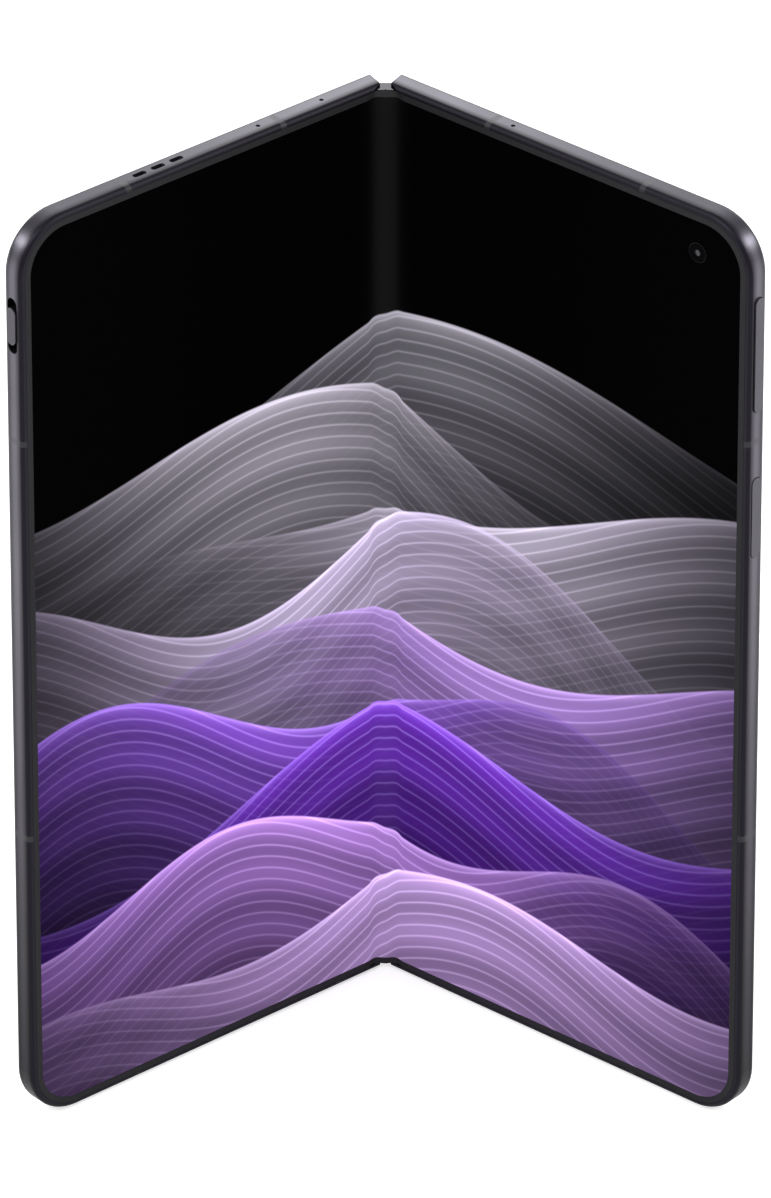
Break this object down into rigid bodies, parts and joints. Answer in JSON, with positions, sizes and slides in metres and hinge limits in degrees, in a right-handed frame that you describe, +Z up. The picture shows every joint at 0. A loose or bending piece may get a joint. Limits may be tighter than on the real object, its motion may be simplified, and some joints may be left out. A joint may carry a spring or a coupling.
{
  "type": "foldable smartphone",
  "caption": "Book-style folding smartphone, half open and standing upright, with a geared spine hinge, inner folding display, side keys, rear camera island and card tray.",
  "frame": {"origin": "middle of the footprint of the half-open phone, on the plane that its bottom edges stand on", "axes": "+Z up along the fold, +X to the right half as its user sees it, +Y away from the user; the hinge spine is at +Y and the inner display looks towards -Y"},
  "size_m": [0.1148, 0.0494, 0.1609],
  "materials": {
    "frame_metal": "satin",
    "key_metal": "satin",
    "spine_metal": "satin",
    "hinge_steel": "brushed",
    "break_plastic": "matte",
    "bezel_plastic": "satin",
    "display": "gloss",
    "cover_glass": "gloss",
    "back_glass": "satin",
    "battery_foil": "satin",
    "board": "satin",
    "inner_plastic": "matte",
    "ribbon": "satin",
    "lens_glass": "gloss",
    "flash_lens": "gloss"
  },
  "bodies": {
    "hinge": {"spine_cover": "spine_metal", "hinge_brackets": "hinge_steel", "hinge_pins": "hinge_steel", "friction_discs": "hinge_steel", "bracket_screws": "hinge_steel", "centre_strip": "hinge_steel", "hinge_flex_cables": "ribbon", "display_fold": "display", "fold_trim": "bezel_plastic"},
    "left_half": {"left_frame": "frame_metal", "left_antenna_breaks": "break_plastic", "left_bezel": "bezel_plastic", "left_display": "display", "left_display_plate": "hinge_steel", "left_hinge_arms": "hinge_steel", "left_arm_screws": "hinge_steel", "left_battery": "battery_foil", "left_board": "board", "top_speaker": "inner_plastic", "vibration_motor": "hinge_steel", "cover_screen": "display", "cover_glass": "cover_glass", "cover_camera": "inner_plastic"},
    "right_half": {"right_frame": "frame_metal", "right_antenna_breaks": "break_plastic", "right_bezel": "bezel_plastic", "right_display": "display", "right_display_plate": "hinge_steel", "right_hinge_arms": "hinge_steel", "right_arm_screws": "hinge_steel", "right_battery": "battery_foil", "main_board": "board", "charging_board": "board", "charging_port": "hinge_steel", "bottom_speaker": "inner_plastic", "card_reader": "hinge_steel", "inner_camera": "inner_plastic", "back_panel": "back_glass", "camera_island": "frame_metal", "camera_modules": "inner_plastic", "camera_lenses": "lens_glass", "camera_flash": "flash_lens"},
    "idler_left": {"idler_gears_left": "hinge_steel"},
    "idler_right": {"idler_gears_right": "hinge_steel"},
    "volume_rocker": {"volume_rocker": "key_metal"},
    "power_button": {"power_button": "key_metal"},
    "alert_slider": {"alert_slider": "key_metal"},
    "card_tray": {"card_tray": "frame_metal"}
  },
  "joints": [
    {"name": "right_fold", "type": "hinge", "parent": "hinge", "child": "right_half", "pos_m": [0.002, 0.02177, 0.08], "axis": [0, 0, -1], "range_deg": [-40, 50], "deforming": ["display_fold", "fold_trim", "hinge_flex_cables"]},
    {"name": "left_fold", "type": "hinge", "parent": "hinge", "child": "left_half", "pos_m": [-0.002, 0.02177, 0.08], "axis": [0, 0, 1], "range_deg": [-40, 50]},
    {"name": "idler_right_turn", "type": "hinge", "parent": "hinge", "child": "idler_right", "pos_m": [0.00067, 0.02177, 0.08], "axis": [0, 0, 1], "range_deg": [-40, 50]},
    {"name": "idler_left_turn", "type": "hinge", "parent": "hinge", "child": "idler_left", "pos_m": [-0.00067, 0.02177, 0.08], "axis": [0, 0, -1], "range_deg": [-40, 50]},
    {"name": "volume_rock", "type": "hinge", "parent": "right_half", "child": "volume_rocker", "pos_m": [0.05439, -0.02174, 0.1385], "axis": [0.6428, 0.766, 0], "range_deg": [-1, 1], "stiffness_Nm_per_rad": 0.7},
    {"name": "power_press", "type": "slide", "parent": "right_half", "child": "power_button", "axis": [-0.766, 0.6428, 0], "range_m": [0, 0.00025], "stiffness_N_per_m": 8000},
    {"name": "alert_slide", "type": "slide", "parent": "left_half", "child": "alert_slider", "axis": [0, 0, 1], "range_m": [-0.0015, 0.0015]},
    {"name": "tray_slide", "type": "slide", "parent": "right_half", "child": "card_tray", "axis": [0, 0, -1], "range_m": [0, 0.014]}
  ],
  "couplings": [
    {"joint": "left_fold", "follows": "right_fold", "ratio": 1},
    {"joint": "idler_right_turn", "follows": "right_fold", "ratio": 1},
    {"joint": "idler_left_turn", "follows": "right_fold", "ratio": 1}
  ]
}
